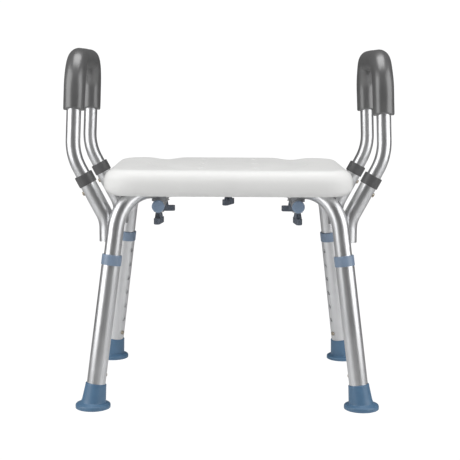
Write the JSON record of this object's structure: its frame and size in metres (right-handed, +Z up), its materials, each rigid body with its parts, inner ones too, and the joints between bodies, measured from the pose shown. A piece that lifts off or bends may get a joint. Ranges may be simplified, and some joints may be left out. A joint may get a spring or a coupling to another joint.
{
  "type": "shower stool",
  "caption": "Backless shower stool: moulded seat on crossed tube legs, telescopic legs with snap buttons and rubber feet, lift-off padded armrests.",
  "frame": {"origin": "on the floor under the middle of the stool, at the centre of the four feet", "axes": "+Z up, +X to the sitter's left when they face the front, which is -Y; the armrests stand at +X and -X"},
  "size_m": [0.503, 0.3652, 0.5445],
  "materials": {
    "seat_plastic": "white blow-moulded polyethylene, fine satin grain",
    "insert_brass": "plain",
    "frame_tube": "satin anodised, drawn along the tube",
    "cross_tube": "satin anodised",
    "cap_plastic": "slate blue, satin",
    "saddle_plastic": "dark grey",
    "zinc_steel": "zinc plated",
    "spring_steel": "spring strip",
    "button_steel": "pressed and plated",
    "sleeve_tube": "satin anodised, drawn along the tube",
    "leg_collar_plastic": "slate blue-grey, satin",
    "foot_rubber": "slate blue, matt",
    "receiver_tube": "satin anodised",
    "receiver_collar_plastic": "dark grey, satin",
    "weld_bead": "rippled weld",
    "armrest_tube": "satin anodised",
    "grip_foam": "dark grey closed-cell foam, fine skin",
    "handle_plastic": "dark slate, satin"
  },
  "bodies": {
    "stool_frame": {"seat_shell": "seat_plastic", "seat_inserts": "insert_brass", "leg_frame_upper": "frame_tube", "leg_frame_lower": "frame_tube", "cross_tube_left": "cross_tube", "cross_tube_right": "cross_tube", "cross_tube_caps": "cap_plastic", "saddle_washers": "saddle_plastic", "bolt_washers": "zinc_steel", "leg_button_springs": "spring_steel", "receiver_welds": "weld_bead", "arm_receiver_front_left": "receiver_tube", "receiver_collar_front_left": "receiver_collar_plastic", "arm_receiver_front_right": "receiver_tube", "receiver_collar_front_right": "receiver_collar_plastic", "arm_receiver_rear_left": "receiver_tube", "receiver_collar_rear_left": "receiver_collar_plastic", "arm_receiver_rear_right": "receiver_tube", "receiver_collar_rear_right": "receiver_collar_plastic"},
    "leg_front_left": {"lower_leg_tube_front_left": "sleeve_tube", "leg_collar_front_left": "leg_collar_plastic", "foot_front_left": "foot_rubber", "foot_washer_front_left": "zinc_steel"},
    "leg_button_front_left": {"leg_button_front_left": "button_steel"},
    "leg_front_right": {"lower_leg_tube_front_right": "sleeve_tube", "leg_collar_front_right": "leg_collar_plastic", "foot_front_right": "foot_rubber", "foot_washer_front_right": "zinc_steel"},
    "leg_button_front_right": {"leg_button_front_right": "button_steel"},
    "leg_rear_left": {"lower_leg_tube_rear_left": "sleeve_tube", "leg_collar_rear_left": "leg_collar_plastic", "foot_rear_left": "foot_rubber", "foot_washer_rear_left": "zinc_steel"},
    "leg_button_rear_left": {"leg_button_rear_left": "button_steel"},
    "leg_rear_right": {"lower_leg_tube_rear_right": "sleeve_tube", "leg_collar_rear_right": "leg_collar_plastic", "foot_rear_right": "foot_rubber", "foot_washer_rear_right": "zinc_steel"},
    "leg_button_rear_right": {"leg_button_rear_right": "button_steel"},
    "armrest_left": {"armrest_tube_left": "armrest_tube", "arm_grip_left": "grip_foam", "arm_button_springs_left": "spring_steel"},
    "arm_button_front_left": {"arm_button_front_left": "button_steel"},
    "arm_button_rear_left": {"arm_button_rear_left": "button_steel"},
    "armrest_right": {"armrest_tube_right": "armrest_tube", "arm_grip_right": "grip_foam", "arm_button_springs_right": "spring_steel"},
    "arm_button_front_right": {"arm_button_front_right": "button_steel"},
    "arm_button_rear_right": {"arm_button_rear_right": "button_steel"},
    "hand_bolt_front_left": {"t_handle_front_left": "handle_plastic", "t_stud_front_left": "zinc_steel"},
    "hand_bolt_front_right": {"t_handle_front_right": "handle_plastic", "t_stud_front_right": "zinc_steel"},
    "hand_bolt_rear_left": {"t_handle_rear_left": "handle_plastic", "t_stud_rear_left": "zinc_steel"},
    "hand_bolt_rear_right": {"t_handle_rear_right": "handle_plastic", "t_stud_rear_right": "zinc_steel"},
    "hand_bolt_centre": {"t_handle_centre": "handle_plastic", "t_stud_centre": "zinc_steel"}
  },
  "joints": [
    {"name": "leg_height_front_left", "type": "slide", "parent": "stool_frame", "child": "leg_front_left", "axis": [-0.1234, -0.0939, -0.9879], "range_m": [0, 0.1524]},
    {"name": "leg_button_press_front_left", "type": "slide", "parent": "stool_frame", "child": "leg_button_front_left", "axis": [-0.7863, -0.5981, 0.1551], "range_m": [0, 0.0042], "stiffness_N_per_m": 400, "springref_m": -0.003},
    {"name": "leg_height_front_right", "type": "slide", "parent": "stool_frame", "child": "leg_front_right", "axis": [0.1234, -0.0939, -0.9879], "range_m": [0, 0.1524]},
    {"name": "leg_button_press_front_right", "type": "slide", "parent": "stool_frame", "child": "leg_button_front_right", "axis": [0.7863, -0.5981, 0.1551], "range_m": [0, 0.0042], "stiffness_N_per_m": 400, "springref_m": -0.003},
    {"name": "leg_height_rear_left", "type": "slide", "parent": "stool_frame", "child": "leg_rear_left", "axis": [-0.1234, 0.0939, -0.9879], "range_m": [0, 0.1524]},
    {"name": "leg_button_press_rear_left", "type": "slide", "parent": "stool_frame", "child": "leg_button_rear_left", "axis": [-0.7863, 0.5981, 0.1551], "range_m": [0, 0.0042], "stiffness_N_per_m": 400, "springref_m": -0.003},
    {"name": "leg_height_rear_right", "type": "slide", "parent": "stool_frame", "child": "leg_rear_right", "axis": [0.1234, 0.0939, -0.9879], "range_m": [0, 0.1524]},
    {"name": "leg_button_press_rear_right", "type": "slide", "parent": "stool_frame", "child": "leg_button_rear_right", "axis": [0.7863, 0.5981, 0.1551], "range_m": [0, 0.0042], "stiffness_N_per_m": 400, "springref_m": -0.003},
    {"name": "armrest_lift_left", "type": "slide", "parent": "stool_frame", "child": "armrest_left", "axis": [-0.4695, 0, 0.8829], "range_m": [0, 0.192]},
    {"name": "arm_button_press_front_left", "type": "slide", "parent": "armrest_left", "child": "arm_button_front_left", "axis": [0.8829, 0, 0.4695], "range_m": [0, 0.0042], "stiffness_N_per_m": 400, "springref_m": -0.003},
    {"name": "arm_button_press_rear_left", "type": "slide", "parent": "armrest_left", "child": "arm_button_rear_left", "axis": [0.8829, 0, 0.4695], "range_m": [0, 0.0042], "stiffness_N_per_m": 400, "springref_m": -0.003},
    {"name": "armrest_lift_right", "type": "slide", "parent": "stool_frame", "child": "armrest_right", "axis": [0.4695, 0, 0.8829], "range_m": [0, 0.192]},
    {"name": "arm_button_press_front_right", "type": "slide", "parent": "armrest_right", "child": "arm_button_front_right", "axis": [-0.8829, 0, 0.4695], "range_m": [0, 0.0042], "stiffness_N_per_m": 400, "springref_m": -0.003},
    {"name": "arm_button_press_rear_right", "type": "slide", "parent": "armrest_right", "child": "arm_button_rear_right", "axis": [-0.8829, 0, 0.4695], "range_m": [0, 0.0042], "stiffness_N_per_m": 400, "springref_m": -0.003},
    {"name": "hand_bolt_turn_front_left", "type": "hinge", "parent": "stool_frame", "child": "hand_bolt_front_left", "pos_m": [-0.108, -0.08215, 0.29], "axis": [0, 0, 1], "continuous": true},
    {"name": "hand_bolt_turn_front_right", "type": "hinge", "parent": "stool_frame", "child": "hand_bolt_front_right", "pos_m": [0.108, -0.08215, 0.29], "axis": [0, 0, 1], "continuous": true},
    {"name": "hand_bolt_turn_rear_left", "type": "hinge", "parent": "stool_frame", "child": "hand_bolt_rear_left", "pos_m": [-0.108, 0.08215, 0.29], "axis": [0, 0, 1], "continuous": true},
    {"name": "hand_bolt_turn_rear_right", "type": "hinge", "parent": "stool_frame", "child": "hand_bolt_rear_right", "pos_m": [0.108, 0.08215, 0.29], "axis": [0, 0, 1], "continuous": true},
    {"name": "hand_bolt_turn_centre", "type": "hinge", "parent": "stool_frame", "child": "hand_bolt_centre", "pos_m": [0, 0, 0.29], "axis": [0, 0, 1], "continuous": true}
  ]
}
